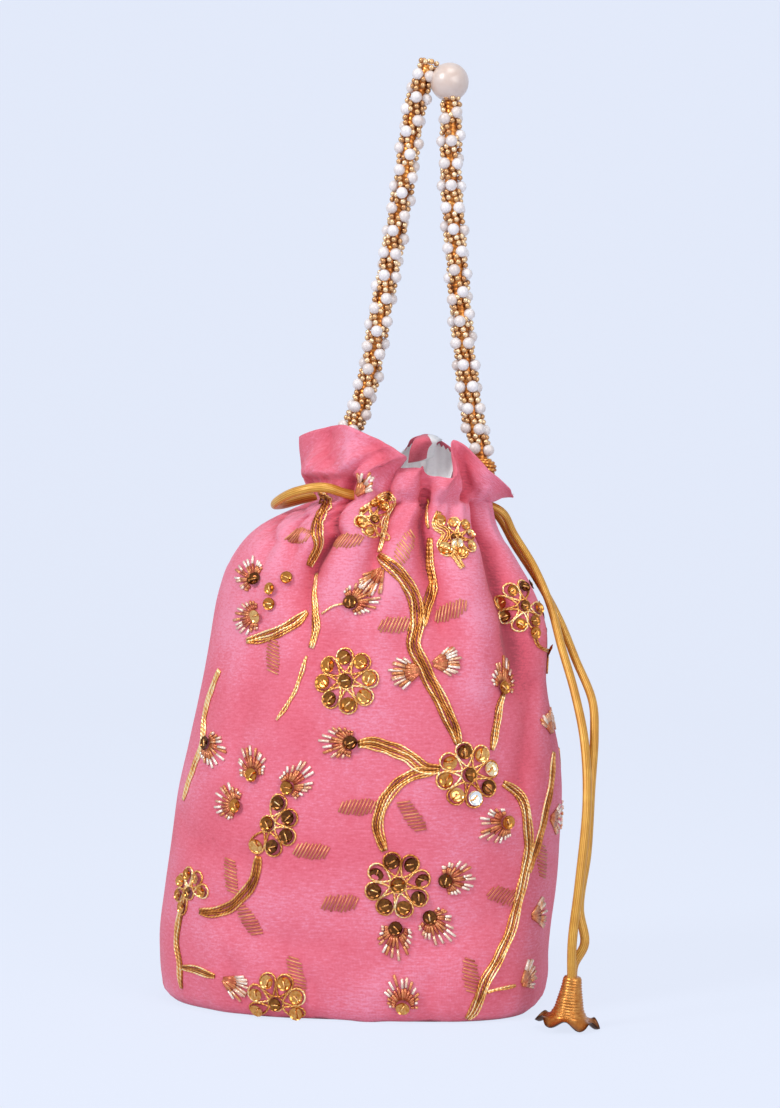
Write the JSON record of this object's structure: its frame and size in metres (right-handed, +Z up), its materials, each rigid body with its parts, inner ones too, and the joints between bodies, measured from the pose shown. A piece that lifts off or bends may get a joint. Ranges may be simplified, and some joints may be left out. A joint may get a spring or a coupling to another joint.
{
  "type": "potli bag",
  "caption": "Gathered cloth drawstring pouch with a frilled mouth, lining, sequin flowers, a flower bell on the drawstring and a twisted bead handle.",
  "frame": {"origin": "centre of the oval base, on the surface that the bag stands on", "axes": "+Z up towards the handle, +X to the right across the bag as seen from its front, -Y towards the front"},
  "size_m": [0.191, 0.1125, 0.3965],
  "materials": {
    "pink_cloth": "fine plain-weave silk blend with slubs and a soft sheen",
    "white_satin": "smooth satin",
    "gold_cord": "satin cord",
    "bell_gold": "ribbed antique gold",
    "bead_strand": "pearl and gold beads",
    "pearl": "pearl lustre",
    "zari_gold": "metallic thread and sequins"
  },
  "bodies": {
    "bag": {"front_panel": "pink_cloth", "back_panel": "pink_cloth", "base_panel": "pink_cloth", "lining": "white_satin", "lining_base": "white_satin", "drawstring": "gold_cord", "drawstring_bell": "bell_gold", "handle_tab_left": "pink_cloth", "handle_tab_right": "pink_cloth", "front_flower_1": "zari_gold", "front_flower_2": "zari_gold", "front_flower_3": "zari_gold", "front_flower_4": "zari_gold", "back_flower_1": "zari_gold", "back_flower_2": "zari_gold", "back_flower_3": "zari_gold", "back_flower_4": "zari_gold"},
    "handle": {"handle_knot_left": "pink_cloth", "handle_knot_right": "pink_cloth", "handle_pearl": "pearl", "left_strand_1": "bead_strand", "left_strand_2": "bead_strand", "left_strand_3": "bead_strand", "left_strand_4": "bead_strand", "right_strand_1": "bead_strand", "right_strand_2": "bead_strand", "right_strand_3": "bead_strand", "right_strand_4": "bead_strand"}
  },
  "joints": [
    {"name": "handle_swing", "type": "hinge", "parent": "bag", "child": "handle", "pos_m": [0.022, 0, 0.224], "axis": [1, 0, 0], "range_deg": [-30, 30]}
  ]
}
